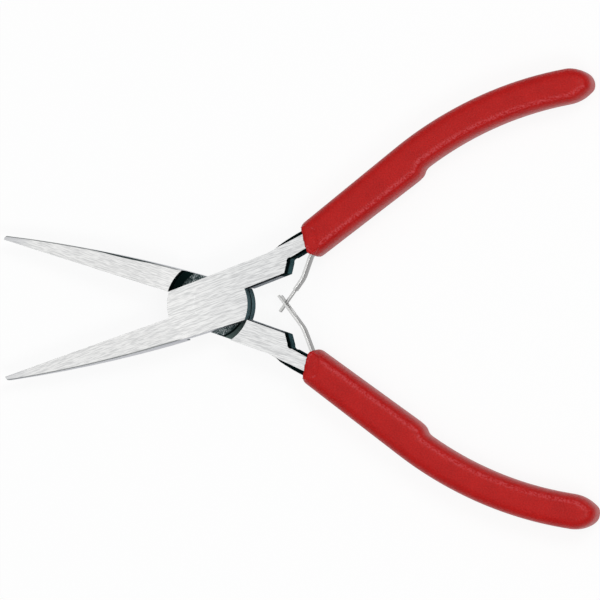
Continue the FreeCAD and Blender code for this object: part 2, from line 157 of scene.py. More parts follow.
@dataclass
class Graph:
    """A shader node tree under construction.

    Attributes:
        tree: The material's or the group's node tree.
    """

    tree: bpy.types.NodeTree

    def add(self, kind: str, **settings: object) -> bpy.types.Node:
        """Adds a node.

        Args:
            kind: The node's type name, without its ShaderNode prefix.
            **settings: Properties to set on the node itself.

        Returns:
            The new node.
        """
        node = self.tree.nodes.new(f"ShaderNode{kind}")
        for name, value in settings.items():
            setattr(node, name, value)
        return node

    def feed(self, target: Socket, value: object) -> None:
        """Links a socket to the target, or sets the target's own value.

        Args:
            target: The input socket.
            value: An output socket, a number, a vector or a colour.
        """
        if isinstance(value, bpy.types.NodeSocket):
            self.tree.links.new(value, target)
        elif target.type == "RGBA" and len(value) == 3:
            target.default_value = (*value, 1.0)
        else:
            target.default_value = value

    def fill(self, node: bpy.types.Node, values: dict[str | int, object]) -> bpy.types.Node:
        """Feeds several of a node's inputs.

        Args:
            node: The node.
            values: What each input takes, by its name or its number.

        Returns:
            The same node.
        """
        for key, value in values.items():
            self.feed(node.inputs[key], value)
        return node

    def math(self, operation: str, *values: object, clamp: bool = False) -> Socket:
        """Adds a Math node.

        Args:
            operation: The node's operation.
            *values: Its inputs, as sockets or numbers.
            clamp: Whether the result is held between 0 and 1.

        Returns:
            The node's result.
        """
        node = self.add("Math", operation=operation, use_clamp=clamp)
        return self.fill(node, dict(enumerate(values))).outputs[0]

    def product(self, *values: object) -> Socket:
        """Multiplies sockets or numbers, from left to right."""
        return reduce(lambda first, second: self.math("MULTIPLY", first, second), values)

    def total(self, *values: object) -> Socket:
        """Adds sockets or numbers, from left to right."""
        return reduce(lambda first, second: self.math("ADD", first, second), values)

    def rest_of(self, share: object) -> Socket:
        """What a share leaves of 1."""
        return self.math("SUBTRACT", 1.0, share)

    def step(self, value: object, low: float, high: float) -> Socket:
        """A smooth step from 0 at low to 1 at high.

        Args:
            value: The input.
            low: Where the step starts.
            high: Where the step ends. It may be under low, and the step then falls.

        Returns:
            The stepped value.
        """
        falls = low > high
        node = self.fill(self.add("MapRange", interpolation_type="SMOOTHSTEP"), {
            "Value": value,
            "From Min": min(low, high),
            "From Max": max(low, high),
            "To Min": float(falls),
            "To Max": float(not falls),
        })
        return node.outputs["Result"]

    def mix(self, share: object, first: object, second: object) -> Socket:
        """Mixes two numbers.

        Args:
            share: How much of the second one shows.
            first: The first number.
            second: The second number.

        Returns:
            The mixed number.
        """
        node = self.fill(self.add("Mix", data_type="FLOAT"), {0: share, 2: first, 3: second})
        return node.outputs[0]

    def mix_colour(self, share: object, first: object, second: object) -> Socket:
        """Mixes two colours.

        Args:
            share: How much of the second one shows.
            first: The first colour.
            second: The second colour.

        Returns:
            The mixed colour.
        """
        node = self.fill(self.add("Mix", data_type="RGBA"), {0: share, 6: first, 7: second})
        return node.outputs[2]

    def placed(
        self,
        vector: Socket,
        scale: tuple[float, float, float],
        turn: float = 0.0,
        kind: str = "POINT",
    ) -> Socket:
        """Scales a vector and turns it about Z.

        Args:
            vector: The vector.
            scale: Its scale along each axis, applied first.
            turn: The turn, in radians.
            kind: The Mapping node's vector type.

        Returns:
            The placed vector.
        """
        node = self.fill(self.add("Mapping", vector_type=kind), {
            "Vector": vector, "Rotation": (0.0, 0.0, turn), "Scale": scale,
        })
        return node.outputs["Vector"]

    def noise(self, vector: Socket, scale: float, detail: float, rough: float) -> Socket:
        """Adds a noise texture.

        Args:
            vector: Where the noise is read.
            scale: Its scale.
            detail: How many finer layers it has.
            rough: How strong the finer layers are.

        Returns:
            The noise, from 0 to 1.
        """
        node = self.fill(self.add("TexNoise", noise_dimensions="3D"), {
            "Vector": vector, "Scale": scale, "Detail": detail, "Roughness": rough,
        })
        return node.outputs["Fac"]

    def split(self, vector: Socket) -> tuple[Socket, Socket, Socket]:
        """The three parts of a vector, as sockets."""
        return tuple(self.fill(self.add("SeparateXYZ"), {0: vector}).outputs)

    def bump(self, height: Socket, strength: float, distance: float) -> Socket:
        """Adds a Bump node.

        Args:
            height: The height, from 0 to 1.
            strength: How much of it is used.
            distance: The depth of a height of 1, in metres.

        Returns:
            The bumped normal.
        """
        node = self.fill(
            self.add("Bump"), {"Height": height, "Strength": strength, "Distance": distance}
        )
        return node.outputs["Normal"]


class GroupSocket(Enum):
    """The kinds of sockets that a shader group may have."""

    NUMBER = "NodeSocketFloat"
    VECTOR = "NodeSocketVector"


class Effect:
    """A shader node group, built once and placed in each material that uses it.

    All effects write their values alike. A noise is its scale, its finer layers and their
    strength. A pair, such as a span, is where a step starts and where it ends. Shares are
    what each part adds to the whole.

    Attributes:
        name: The group's name.
        inputs: Its inputs and their kinds.
        outputs: Its outputs, which are all numbers.
    """

    name: str = "effect"
    inputs: dict[str, GroupSocket] = {}
    outputs: tuple[str, ...] = ()

    def __init__(self) -> None:
        """Builds the group's tree with its named sockets."""
        self.tree = bpy.data.node_groups.new(self.name, "ShaderNodeTree")
        for name, kind in self.inputs.items():
            self.tree.interface.new_socket(name, in_out="INPUT", socket_type=kind.value)
        number = GroupSocket.NUMBER.value
        for name in self.outputs:
            self.tree.interface.new_socket(name, in_out="OUTPUT", socket_type=number)
        graph = Graph(self.tree)
        source = self.tree.nodes.new("NodeGroupInput")
        target = self.tree.nodes.new("NodeGroupOutput")
        results = self.draw(graph, {name: source.outputs[name] for name in self.inputs})
        for name, socket in results.items():
            self.tree.links.new(socket, target.inputs[name])

    def draw(self, graph: Graph, given: Sockets) -> Sockets:
        """Draws the effect's nodes.

        Args:
            graph: The group's tree.
            given: The group's inputs by name.

        Returns:
            The group's outputs by name.
        """
        raise NotImplementedError

    def place(self, graph: Graph, **values: object) -> Sockets:
        """Places the group in a material.

        Args:
            graph: The material's tree.
            **values: Its inputs by name, as sockets or numbers.

        Returns:
            The placed group's outputs by name.
        """
        node = graph.tree.nodes.new("ShaderNodeGroup")
        node.node_tree = self.tree
        graph.fill(node, values)
        return {name: node.outputs[name] for name in self.outputs}


class GroundGrain(Effect):
    """The fine lengthwise scratches that a grinding belt leaves on steel.

    The broad bands, the lines and the finer marks at a slant to them are each stretched
    along, across and up, and then turned.
    """

    name = "ground_grain"
    inputs = {"Plan": GroupSocket.VECTOR}
    outputs = ("Tone", "Height")
    bands = ((0.04, 0.6, 0.3), 0.0)
    lines = ((0.26, 5.8, 2.0), 0.01)
    marks = ((0.60, 7.4, 4.0), -0.03)
    broad = (1.0, 3.0, 0.6)
    single = (1.0, 0.0, 0.5)
    tone_shares = (0.45, 0.50, 0.05)
    height_share = 0.5

    def draw(self, graph: Graph, given: Sockets) -> Sockets:
        """Draws three sets of stretched noise, from broad bands to single scratches.

        Args:
            graph: The group's tree.
            given: The place in the piece's plan, in millimetres.

        Returns:
            The tone and the height of the scratches, both from 0 to 1.
        """
        plan = given["Plan"]
        bands = graph.noise(graph.placed(plan, *self.bands), *self.broad)
        lines, marks = (
            graph.noise(graph.placed(plan, *scratches), *self.single)
            for scratches in (self.lines, self.marks)
        )
        parts = zip((lines, marks, bands), self.tone_shares)
        tone = graph.total(*(graph.product(part, share) for part, share in parts))
        height = graph.total(*(graph.product(part, self.height_share) for part in (lines, marks)))
        return {"Tone": tone, "Height": height}


class ForgedScale(Effect):
    """The blotchy, oiled, blackened skin of a forging, with a few painted glints."""

    name = "forged_scale"
    inputs = {"Plan": GroupSocket.VECTOR}
    outputs = ("Tone", "Specks", "Height")
    blotch = (0.9, 5.0, 0.62)
    grit = (3.4, 3.0, 0.6)
    tone_shares = (0.65, 0.35)
    tone_span = (0.38, 0.68)
    speck_grit = (0.53, 0.60)
    speck_blotch = (0.42, 0.52)

    def draw(self, graph: Graph, given: Sockets) -> Sockets:
        """Draws the blotches, the painted glints and the grainy skin.

        Args:
            graph: The group's tree.
            given: The place on the piece, in millimetres.

        Returns:
            Tone of the blotches, mask of the painted glints and height of the skin, from 0 to 1.
        """
        plan = given["Plan"]
        blotch = graph.noise(plan, *self.blotch)
        grit = graph.noise(plan, *self.grit)
        parts = zip((blotch, grit), self.tone_shares)
        both = graph.total(*(graph.product(part, share) for part, share in parts))
        tone = graph.step(both, *self.tone_span)
        # Painted glints: bright specks where the grit and the blotches both run high.
        specks = graph.product(
            graph.step(grit, *self.speck_grit), graph.step(blotch, *self.speck_blotch)
        )
        return {"Tone": tone, "Specks": specks, "Height": grit}


class PebbledSkin(Effect):
    """The fine orange-peel skin of a dipped vinyl sleeve."""

    name = "pebbled_skin"
    inputs = {"Place": GroupSocket.VECTOR}
    outputs = ("Tone", "Height")
    cloud = (0.22, 3.0, 0.55)
    pebble = (2.6, 1.0, 0.5)
    speckle = (3.6, 0.0, 0.5)
    cloud_span = (0.25, 0.75)
    speckle_span = (0.34, 0.66)
    speckle_share = 0.6

    def draw(self, graph: Graph, given: Sockets) -> Sockets:
        """Draws broad clouding with fine speckles, and a fine pebble.

        Args:
            graph: The group's tree.
            given: The place on the piece, in millimetres.

        Returns:
            The tone and the pebble's height, from 0 to 1.
        """
        place = given["Place"]
        cloud = graph.step(graph.noise(place, *self.cloud), *self.cloud_span)
        speckle = graph.step(graph.noise(place, *self.speckle), *self.speckle_span)
        return {
            "Tone": graph.mix(self.speckle_share, cloud, speckle),
            "Height": graph.noise(place, *self.pebble),
        }


class SleeveRidge(Effect):
    """The painted highlight along a sleeve's inner ridge: below it the skin is steeper, above it
    more level.
    """

    name = "sleeve_ridge"
    inputs = {"Place": GroupSocket.VECTOR, "Facing": GroupSocket.VECTOR}
    outputs = ("Ridge",)
    below = (0.72, 0.82)
    above = (0.985, 0.93)
    inward = (0.1, 0.25)

    def draw(self, graph: Graph, given: Sockets) -> Sockets:
        """Draws the mask.

        Args:
            graph: The group's tree.
            given: The place on the tool, in millimetres, and the direction the skin faces.

        Returns:
            The mask of the painted highlight along the ridge on each face's inner side.
        """
        y = graph.split(given["Place"])[1]
        _, ny, nz = graph.split(given["Facing"])
        level = graph.math("ABSOLUTE", nz)
        inward = graph.product(ny, graph.math("SIGN", y), -1.0)
        # Painted highlight: a band of the round's tilt on the inner side, where a lamp's
        # highlight falls.
        band = graph.product(graph.step(level, *self.below), graph.step(level, *self.above))
        return {"Ridge": graph.product(band, graph.step(inward, *self.inward))}


class LeverZones(Effect):
    """Tells the belt-ground parts of a lever from its blackened ones, by place and direction.

    Lengths are in millimetres, with x and y from the pivot and a height from the lap. What
    a surface faces runs from 0 to 1, and its level is how far it faces up or down. A jaw's
    back is a straight taper, tip_wide from the bite line at the tip and drawing away at
    back_slope, with a shallow bow on it. A dark line of painted shade runs along the back,
    standing in for the edge's dark reflection, and on one jaw a wider strip of painted
    shade, which is widest at skip_middle from the tip.
    """

    name = "lever_zones"
    inputs = {
        "Plan": GroupSocket.VECTOR,
        "Facing": GroupSocket.VECTOR,
        "Side": GroupSocket.NUMBER,
    }
    outputs = (
        "Flat", "Flank", "Edge", "Front", "Level", "Upper", "Rear", "Lap", "Notch",
        "Fillet", "Crease", "Handle", "Outer", "Line", "Skip", "Neck", "Far", "Tip",
    )
    off_lap_height, lap_height, edge_height = (0.35, 0.6), (0.5, 0.35), (3.85, 4.05)
    upper_height = (-0.4, 1.2)
    flat_level, floor_level, side_level = (0.97, 0.985), (0.6, 0.9), (0.45, 0.3)
    edge_off_side, edge_off_flat = (0.4, 0.5), (0.975, 0.96)
    pocket_radius, pocket_facing = (10.8, 10.4), (-0.5, -0.8)
    notch_radius = (14.0, 15.0)
    crease_inner, crease_outer = (7.2, 7.35), (7.8, 7.65)
    # The fillet starts at these radii. On the jaw side it takes painted shadow.
    fillet_jaw, fillet_handle, fillet_fade = 8.1, 7.4, (0.0, 0.4)
    rear_facing, rear_x = (0.35, 0.5), (5.0, 7.0)
    outer_facing, jaw_x = (-0.2, -0.4), (-8.0, -10.0)
    front_x, handle_x, neck_x = (17.3, 16.9), (-1.0, 1.0), (7.0, 9.0)
    # The painted shade on the handle-end flats rises along the first span.
    far_x, tip_x = (-12.0, 14.0), (-43.0, -50.0)
    jaw_long, tip_wide, back_slope, bow_long, back_radius = 50.8, 1.0, 0.1077, 41.8, 308.0
    line_wide, line_fade = 0.32, (0.0, 0.12)
    skip_middle, skip_half_long, skip_wide = 29.0, 9.0, 0.5
    least_steep = 0.01

    def from_back(self, graph: Graph, x: Socket, y: Socket) -> tuple[Socket, Socket]:
        """Measures from a jaw's back, which is a straight taper with a bow on it.

        Args:
            graph: The group's tree.
            x: The place along the lever.
            y: The place across it.

        Returns:
            The distance along the jaw from its tip, and the distance in from its back.
        """
        along = graph.total(x, self.jaw_long)
        bow = graph.math(
            "DIVIDE",
            graph.product(along, graph.math("SUBTRACT", self.bow_long, along)),
            2.0 * self.back_radius,
        )
        taper = graph.total(graph.product(along, self.back_slope), self.tip_wide)
        return along, graph.total(taper, bow, y)

    def draw(self, graph: Graph, given: Sockets) -> Sockets:
        """Draws the masks.

        Args:
            graph: The group's tree.
            given: The place in the lever's plan, in millimetres with Z from the lap, the
                direction the surface faces there, and 1 for the upper half or -1.

        Returns:
            The masks of the ground flats and sides, of the broken edges, of the jaws and
            plate without the pocket, of the level faces, of the tool's upper half, of the
            plate's rear wall, of the lap's line, of the notch, of the pocket's fillet, which
            takes painted shadow on the jaw side, and its inner crease, which takes a painted
            shade line, of the handle's end, of edges that face outward, of the painted shade
            line along a jaw's back and the wider painted shade strip there, of the neck, of
            the end by the sleeve, whose flats take painted shade, and of the jaw tip.
        """
        x, y, z = graph.split(given["Plan"])
        nx, ny, nz = graph.split(given["Facing"])
        level = graph.math("ABSOLUTE", nz)
        height = graph.math("ABSOLUTE", z)
        radius, steep = (
            graph.math("SQRT", graph.total(graph.product(a, a), graph.product(b, b)))
            for a, b in ((x, y), (nx, ny))
        )
        outward = graph.math(
            "DIVIDE",
            graph.total(graph.product(x, nx), graph.product(y, ny)),
            graph.product(radius, graph.math("MAXIMUM", steep, self.least_steep)),
        )
        in_pocket = graph.step(radius, *self.pocket_radius)
        pocket = graph.product(in_pocket, graph.step(outward, *self.pocket_facing))
        rearward = graph.product(graph.step(nx, *self.rear_facing), graph.step(x, *self.rear_x))
        dark = graph.math("MAXIMUM", pocket, rearward)
        front = graph.product(graph.step(x, *self.front_x), graph.rest_of(dark))
        edge = graph.product(
            graph.step(level, *self.edge_off_side),
            graph.step(level, *self.edge_off_flat),
            graph.step(height, *self.edge_height),
        )
        # Painted shade: a dark line in the pocket's inner crease, on the handle side.
        crease = graph.product(
            graph.step(radius, *self.crease_inner), graph.step(radius, *self.crease_outer)
        )
        handle = graph.step(x, *self.handle_x)
        fillet = graph.mix(handle, self.fillet_jaw, self.fillet_handle)
        along, in_from_back = self.from_back(graph, x, y)
        off_middle = graph.math(
            "DIVIDE", graph.math("SUBTRACT", along, self.skip_middle), self.skip_half_long
        )
        strip = graph.rest_of(graph.product(off_middle, off_middle))
        # Painted shade: a dark line along a jaw's back, and a wider dark strip on one jaw, widest
        # at its middle.
        line, skip = (
            graph.step(graph.math("SUBTRACT", wide, in_from_back), *self.line_fade)
            for wide in (self.line_wide, graph.product(strip, self.skip_wide))
        )
        in_jaw = graph.step(x, *self.jaw_x)
        return {
            "Flat": graph.product(
                graph.step(level, *self.flat_level), graph.step(height, *self.off_lap_height)
            ),
            "Flank": graph.product(front, graph.step(level, *self.side_level)),
            "Edge": edge,
            "Front": front,
            "Level": graph.step(level, *self.floor_level),
            "Upper": graph.step(graph.product(z, given["Side"]), *self.upper_height),
            "Rear": graph.product(rearward, in_pocket),
            "Lap": graph.step(height, *self.lap_height),
            "Notch": graph.product(rearward, graph.step(radius, *self.notch_radius)),
            "Fillet": graph.step(graph.math("SUBTRACT", radius, fillet), *self.fillet_fade),
            "Crease": graph.product(crease, handle),
            "Handle": handle,
            "Outer": graph.product(graph.step(ny, *self.outer_facing), in_jaw),
            "Line": graph.product(line, in_jaw),
            "Skip": skip,
            "Neck": graph.step(x, *self.neck_x),
            # Painted shade: the handle end, where the ground flats are dimmed.
            "Far": graph.step(x, *self.far_x),
            "Tip": graph.step(x, *self.tip_x),
        }


@dataclass(frozen=True)
class Effects:
    """The shader groups that the finishes share."""

    grain: GroundGrain = field(default_factory=GroundGrain)
    scale: ForgedScale = field(default_factory=ForgedScale)
    skin: PebbledSkin = field(default_factory=PebbledSkin)
    ridge: SleeveRidge = field(default_factory=SleeveRidge)
    zones: LeverZones = field(default_factory=LeverZones)


# ---- finishes ----


def new_material(name: str) -> tuple[Material, Graph, bpy.types.Node]:
    """Makes a material with a Principled BSDF.

    Args:
        name: The material's name.

    Returns:
        The material, its graph and its Principled BSDF node.
    """
    material = bpy.data.materials.new(name)
    material.use_nodes = True
    graph = Graph(material.node_tree)
    shader = material.node_tree.nodes["Principled BSDF"]
    return material, graph, shader


def plan_vectors(graph: Graph, layer: Layer) -> tuple[Socket, Socket]:
    """The place and the direction on a half, in its lever's own plan.

    Args:
        graph: The material's tree.
        layer: The half.

    Returns:
        The place in millimetres, with Z from the lap, and the facing direction.
    """
    where = graph.add("TexCoord")
    centred = graph.fill(graph.add("Mapping", vector_type="POINT"), {
        "Vector": where.outputs["Object"], "Location": (0.0, 0.0, -TOOL.middle),
    })
    scale = 1.0 / MM
    place = graph.placed(
        centred.outputs["Vector"],
        (scale, scale * layer.side, scale * layer.side),
        -TOOL.half_open,
    )
    facing = graph.placed(
        where.outputs["Normal"], (1.0, layer.side, layer.side), -TOOL.half_open, "VECTOR"
    )
    return place, facing


@dataclass(frozen=True)
class LeverSteel:
    """Forged tool steel: belt-ground flats and jaw sides, blackened everywhere else.

    The colours are for the ground parts, the necks' sides, the broken edges, the blackened
    walls, the pocket's fillet and floor, and the painted glints. Painted shade dims the flats
    at the handle end and darkens the broken edges of the jaws and plate, a line along a jaw's
    back, the fillet on the pocket's jaw side and a line in its crease. A pair of shares is
    for the upper lever, then the lower one: they say how much a colour covers at its strongest.
    """

    flat: Colour = (0.84, 0.837, 0.827)
    flat_dim: Colour = (0.62, 0.622, 0.620)
    # Painted shade: the next two colours dim the ground flats at the handle end.
    far: Colour = (0.735, 0.74, 0.737)
    far_dim: Colour = (0.520, 0.525, 0.528)
    flank: Colour = (0.49, 0.50, 0.545)
    flank_dim: Colour = (0.38, 0.39, 0.425)
    neck: Colour = (0.40, 0.43, 0.46)
    neck_upper: Colour = (0.035, 0.042, 0.048)
    edge_bright: Colour = (0.90, 0.90, 0.90)
    # Painted shade: the next two colours make the dark lines on the broken edges and along a
    # jaw's back.
    edge_plate: Colour = (0.16, 0.18, 0.19)
    edge_back: Colour = (0.035, 0.050, 0.050)
    black: Colour = (0.002, 0.006, 0.006)
    black_lower: Colour = (0.014, 0.034, 0.038)
    black_pale: Colour = (0.025, 0.050, 0.055)
    rear: Colour = (0.088, 0.145, 0.158)
    notch: Colour = (0.052, 0.116, 0.127)
    # Painted shadow: the pocket's fillet on the jaw side, dark where the shoulder wall shades the
    # floor.
    fillet_jaw: Colour = (0.004, 0.012, 0.012)
    fillet_handle: Colour = (0.082, 0.115, 0.108)
    floor: Colour = (0.022, 0.042, 0.044)
    floor_pale: Colour = (0.20, 0.25, 0.25)
    # Painted glints: the colour of the bright specks on the pocket's floor.
    speck: Colour = (0.60, 0.64, 0.64)
    tip_share: tuple[float, float] = (0.3, 0.5)
    # Painted shade: how much the dimmed handle-end flats cover, for each lever.
    far_share: tuple[float, float] = (0.85, 0.65)
    # Painted shade: how strongly the dark line along a jaw's back covers the flat.
    line_share: float = 0.7
    tone_span: Span = (0.36, 0.62)
    ground_rough: Span = (0.30, 0.46)
    black_rough: Span = (0.30, 0.55)
    black_relief: float = 4.0
    bump_share: float = 0.35
    bump_depth: float = 0.006 * MM

    def black_skin(self, graph: Graph, zones: Sockets, scale: Sockets) -> Socket:
        """Colours the blackened walls and the pocket's floor.

        Args:
            graph: The material's tree.
            zones: The lever's masks.
            scale: The forged scale.

        Returns:
            The colour.
        """
        rear = graph.mix_colour(zones["Lap"], self.rear, self.black)
        # Painted shadow on the fillet's jaw side. The handle side takes a paler tone.
        fillet = graph.mix_colour(zones["Handle"], self.fillet_jaw, self.fillet_handle)
        wall = graph.mix_colour(scale["Tone"], self.black_lower, self.black_pale)
        floor = graph.mix_colour(scale["Tone"], self.floor, self.floor_pale)
        # Painted glints on the pocket's floor.
        floor = graph.mix_colour(scale["Specks"], floor, self.speck)
        for zone, over in (("Notch", self.notch), ("Upper", self.black), ("Rear", rear)):
            wall = graph.mix_colour(zones[zone], wall, over)
        # Painted shadow on the fillet's jaw side and a painted shade line in the crease.
        for zone, over in (("Fillet", fillet), ("Crease", self.black)):
            floor = graph.mix_colour(zones[zone], floor, over)
        return graph.mix_colour(zones["Level"], wall, floor)

    def ground_flat(self, graph: Graph, zones: Sockets, tone: Socket, lower: bool) -> Socket:
        """Colours the ground flats.

        Args:
            graph: The material's tree.
            zones: The lever's masks.
            tone: The tone of the belt's scratches.
            lower: Whether it is the lower lever, whose jaw has a wider strip of painted shade
                along its back.

        Returns:
            The colour.
        """
        flat = graph.mix_colour(tone, self.flat_dim, self.flat)
        far = graph.mix_colour(tone, self.far_dim, self.far)
        for zone, share, over in (
            ("Tip", self.tip_share[lower], self.flank_dim),
            # Painted shade on the ground flats at the handle end.
            ("Far", self.far_share[lower], far),
            # Painted shade line along the jaw's back.
            ("Line", self.line_share, self.edge_back),
        ):
            flat = graph.mix_colour(graph.product(zones[zone], share), flat, over)
        # Painted shade: the lower jaw's wider dark strip along its back.
        return graph.mix_colour(zones["Skip"], flat, self.edge_back) if lower else flat

    def build(self, layer: Layer, effects: Effects) -> Material:
        """Builds the finish for one lever.

        Args:
            layer: The half that the lever belongs to.
            effects: The shared shader groups.

        Returns:
            The material.
        """
        material, graph, shader = new_material(f"lever_steel_{layer.value}")
        place, facing = plan_vectors(graph, layer)
        zones = effects.zones.place(graph, Plan=place, Facing=facing, Side=layer.side)
        grain = effects.grain.place(graph, Plan=place)
        scale = effects.scale.place(graph, Plan=place)
        tone = graph.step(grain["Tone"], *self.tone_span)
        ground_side = graph.product(zones["Flank"], graph.rest_of(zones["Neck"]))
        bare = graph.math(
            "ADD", graph.total(zones["Flat"], ground_side), zones["Edge"], clamp=True
        )
        neck = graph.mix_colour(zones["Upper"], self.neck, self.neck_upper)
        flank = graph.mix_colour(tone, self.flank_dim, self.flank)
        flank = graph.mix_colour(zones["Neck"], flank, neck)
        # Painted shade: the broken edges of the jaws and plate, and the outward ones on the jaws,
        # are dark in place of their dark reflection. The handle's edges stay bright.
        edge = graph.mix_colour(zones["Front"], self.edge_bright, self.edge_plate)
        edge = graph.mix_colour(zones["Outer"], edge, self.edge_back)
        colour = self.black_skin(graph, zones, scale)
        flat = self.ground_flat(graph, zones, tone, layer is Layer.LOWER)
        for zone, over in (("Flank", flank), ("Flat", flat), ("Edge", edge)):
            colour = graph.mix_colour(zones[zone], colour, over)
        ground_rough = graph.mix(grain["Height"], *self.ground_rough)
        black_rough = graph.mix(scale["Tone"], *self.black_rough)
        relief = graph.product(scale["Height"], self.black_relief)
        relief = graph.mix(bare, relief, grain["Height"])
        graph.fill(shader, {
            "Base Color": colour,
            "Metallic": bare,
            "Roughness": graph.mix(bare, black_rough, ground_rough),
            "Normal": graph.bump(relief, self.bump_share, self.bump_depth),
            "Specular IOR Level": 0.0,
        })
        return material


@dataclass(frozen=True)
class SpringSteel:
    """Cold-rolled spring strip, duller than the ground levers, with bright sheared edges."""

    pale: Colour = (0.255, 0.253, 0.248)
    dim: Colour = (0.225, 0.223, 0.220)
    edge: Colour = (0.62, 0.62, 0.61)
    tone_span: Span = (0.35, 0.65)
    face_level: Span = (0.4, 0.7)
    rough: Span = (0.31, 0.37)
    bump_share: float = 0.1
    bump_depth: float = 0.004 * MM

    def build(self, layer: Layer, effects: Effects) -> Material:
        """Builds the finish for one half's spring and its rivet.

        Args:
            layer: The half that the spring belongs to.
            effects: The shared shader groups.

        Returns:
            The material.
        """
        material, graph, shader = new_material(f"spring_strip_{layer.value}")
        place, facing = plan_vectors(graph, layer)
        grain = effects.grain.place(graph, Plan=place)
        tone = graph.step(grain["Tone"], *self.tone_span)
        level = graph.math("ABSOLUTE", graph.split(facing)[2])
        colour = graph.mix_colour(tone, self.dim, self.pale)
        sheared = graph.step(level, *self.face_level)
        graph.fill(shader, {
            "Base Color": graph.mix_colour(sheared, colour, self.edge),
            "Metallic": 1.0,
            "Roughness": graph.mix(grain["Height"], *self.rough),
            "Normal": graph.bump(grain["Height"], self.bump_share, self.bump_depth),
        })
        return material


@dataclass(frozen=True)
class SleeveVinyl:
    """Satin dipped vinyl with a fine pebble and a painted highlight along the inner ridge."""

    deep: Colour = (0.375, 0.0065, 0.0060)
    bright: Colour = (0.50, 0.0100, 0.0085)
    # Painted highlight: the colour of the band along the inner ridge.
    ridge: Colour = (0.53, 0.046, 0.051)
    rough: Span = (0.32, 0.44)
    scuff_span: Span = (0.36, 0.64)
    bump_share: float = 1.0
    bump_depth: float = 0.1 * MM
    shine: float = 0.15

    def build(self, effects: Effects) -> Material:
        """Builds the finish of both sleeves.

        Args:
            effects: The shared shader groups.

        Returns:
            The material.
        """
        material, graph, shader = new_material("sleeve_vinyl")
        where = graph.add("TexCoord")
        place = graph.placed(where.outputs["Object"], (1.0 / MM,) * 3)
        skin = effects.skin.place(graph, Place=place)
        ridge = effects.ridge.place(graph, Place=place, Facing=where.outputs["Normal"])
        colour = graph.mix_colour(skin["Tone"], self.deep, self.bright)
        # Painted highlight along the inner ridge, broken up by the pebble.
        scuffed = graph.product(ridge["Ridge"], graph.step(skin["Height"], *self.scuff_span))
        graph.fill(shader, {
            "Base Color": graph.mix_colour(scuffed, colour, self.ridge),
            "Roughness": graph.mix(skin["Height"], *self.rough),
            "Normal": graph.bump(skin["Height"], self.bump_share, self.bump_depth),
            "Specular IOR Level": self.shine,
        })
        return material


# ---- modelling helpers ----


def deselect_all() -> None:
    """Leaves object mode ready for the next operator."""
    if bpy.context.object is not None and bpy.context.object.mode != "OBJECT":
        bpy.ops.object.mode_set(mode="OBJECT")
    bpy.ops.object.select_all(action="DESELECT")


def make_active(item: Piece) -> None:
    """Selects one object alone and makes it the active one."""
    deselect_all()
    item.select_set(True)
    bpy.context.view_layer.objects.active = item


def add_object(name: str, data: bpy.types.ID) -> Piece:
    """Puts a new object into the scene."""
    item = bpy.data.objects.new(name, data)
    bpy.context.scene.collection.objects.link(item)
    return item


def dress(item: Piece, material: Material) -> None:
    """Gives an object one material in place of those it has."""
    if not item.material_slots:
        item.data.materials.append(material)
    for slot in item.material_slots:
        slot.link = "OBJECT"
        slot.material = material


def apply_modifiers(item: Piece) -> None:
    """Applies all the modifiers of an object, in order."""
    make_active(item)
    for name in [modifier.name for modifier in item.modifiers]:
        bpy.ops.object.modifier_apply(modifier=name)


def copy_node(node: str, name: str) -> Piece:
    """Copies a frame node's surface into a new piece, with its loose triangles merged.

    Args:
        node: The frame node.
        name: The new piece's name.

    Returns:
        The new piece, active, in object mode, at the origin.
    """
    item = add_object(name, frame["nodes"][node].data.copy())
    item.data.name = name
    make_active(item)
    bpy.ops.mesh.customdata_custom_splitnormals_clear()
    bpy.ops.object.mode_set(mode="EDIT")
    bpy.ops.mesh.select_all(action="SELECT")
    bpy.ops.mesh.remove_doubles(threshold=WELD_GAP)
    bpy.ops.mesh.normals_make_consistent(inside=False)
    bpy.ops.object.mode_set(mode="OBJECT")
    return item


def break_edges(item: Piece, width: float, facets: int, sharp: float) -> None:
    """Adds a narrow bevel along an object's sharp edges.

    Args:
        item: The object.
        width: The bevel's width, in metres.
        facets: How many facets it has across.
        sharp: The angle past which an edge is sharp, in radians.
    """
    broken = item.modifiers.new("broken_edges", "BEVEL")
    broken.width = width
    broken.segments = facets
    broken.limit_method = "ANGLE"
    broken.angle_limit = sharp


def eased(value: float, low: float, span: float) -> float:
    """A smooth rise from 0 at low to 1 at low plus span."""
    share = min(max((value - low) / span, 0.0), 1.0)
    return share * share * (3.0 - 2.0 * share)


def between(first: float, second: float, share: float) -> float:
    """The number that lies a share of the way from the first to the second."""
    return first + (second - first) * share


# ---- sub-assemblies ----


@dataclass
class Lever:
    """One forged lever.

    Attributes:
        layer: The half that it belongs to.
        edge_break: The width of the broken edges round the ground flats, in metres.
        flat_within: The angle within which facets are joined into one face.
        sharp: The angle past which an edge is broken.
    """

    layer: Layer
    edge_break: float = 0.2 * MM
    flat_within: float = math.radians(0.4)
    sharp: float = math.radians(32.0)

    def make(self, effects: Effects) -> list[Piece]:
        """Breaks the lever's edges and dresses it.

        Args:
            effects: The shared shader groups.

        Returns:
            The dressed objects.
        """
        lever = frame["nodes"][f"lever_{self.layer.value}"]
        weld = lever.modifiers.new("weld", "WELD")
        weld.merge_threshold = WELD_GAP
        flat = lever.modifiers.new("flat_faces", "DECIMATE")
        flat.decimate_type = "DISSOLVE"
        flat.angle_limit = self.flat_within
        break_edges(lever, self.edge_break, facets=1, sharp=self.sharp)
        dress(lever, LeverSteel().build(self.layer, effects))
        return [lever]


@dataclass
class PivotRivet:
    """The rivet through the joint, ground flush and brushed with the upper lever."""

    node: str = "pivot_rivet"

    def make(self, steel: Material) -> list[Piece]:
        """Dresses the rivet.

        Args:
            steel: The upper lever's finish.

        Returns:
            The dressed object.
        """
        rivet = frame["nodes"][self.node]
        dress(rivet, steel)
        return [rivet]


